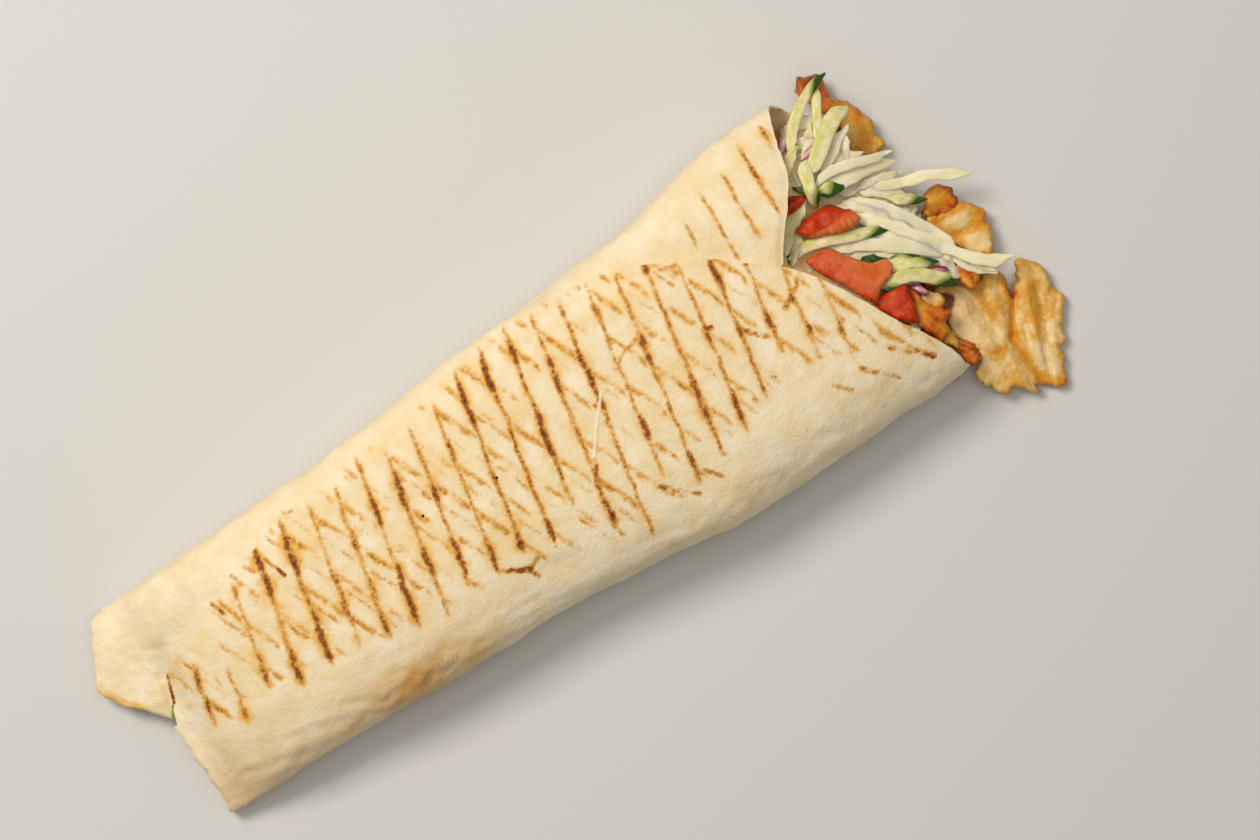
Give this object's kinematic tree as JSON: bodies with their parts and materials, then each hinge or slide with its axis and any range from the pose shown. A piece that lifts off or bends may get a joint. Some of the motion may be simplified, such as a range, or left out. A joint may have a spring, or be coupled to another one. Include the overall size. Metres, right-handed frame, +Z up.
{
  "type": "doner kebab wrap",
  "caption": "Flatbread rolled round shaved chicken, salad and tomato, toasted with grill marks, closed at one end and open at the other.",
  "frame": {"origin": "on the surface that the wrap rests on, under the middle of its bounding box", "axes": "+X along the roll towards its open mouth, +Y towards the side where the bread's free edge shows, +Z up"},
  "size_m": [0.3306, 0.1292, 0.04],
  "materials": {
    "toasted_flatbread": "soft wheat bread, dry and floury, with brown grill marks",
    "shaved_chicken": "moist shaved roast chicken",
    "mixed_salad": "moist strips of cabbage and cucumber in a thin creamy sauce",
    "roast_chicken": "roast chicken with browned edges, slightly oily",
    "tomato_flesh": "wet cut tomato"
  },
  "bodies": {
    "root": {"flatbread": "toasted_flatbread", "doner_meat": "shaved_chicken", "salad": "mixed_salad", "chicken_slice_1": "roast_chicken", "chicken_slice_2": "roast_chicken", "chicken_slice_3": "roast_chicken", "chicken_slice_4": "roast_chicken", "chicken_slice_5": "roast_chicken", "chicken_slice_6": "roast_chicken", "chicken_slice_7": "roast_chicken", "tomato_piece_1": "tomato_flesh", "tomato_piece_2": "tomato_flesh", "tomato_piece_3": "tomato_flesh", "tomato_piece_4": "tomato_flesh"}
  },
  "joints": []
}
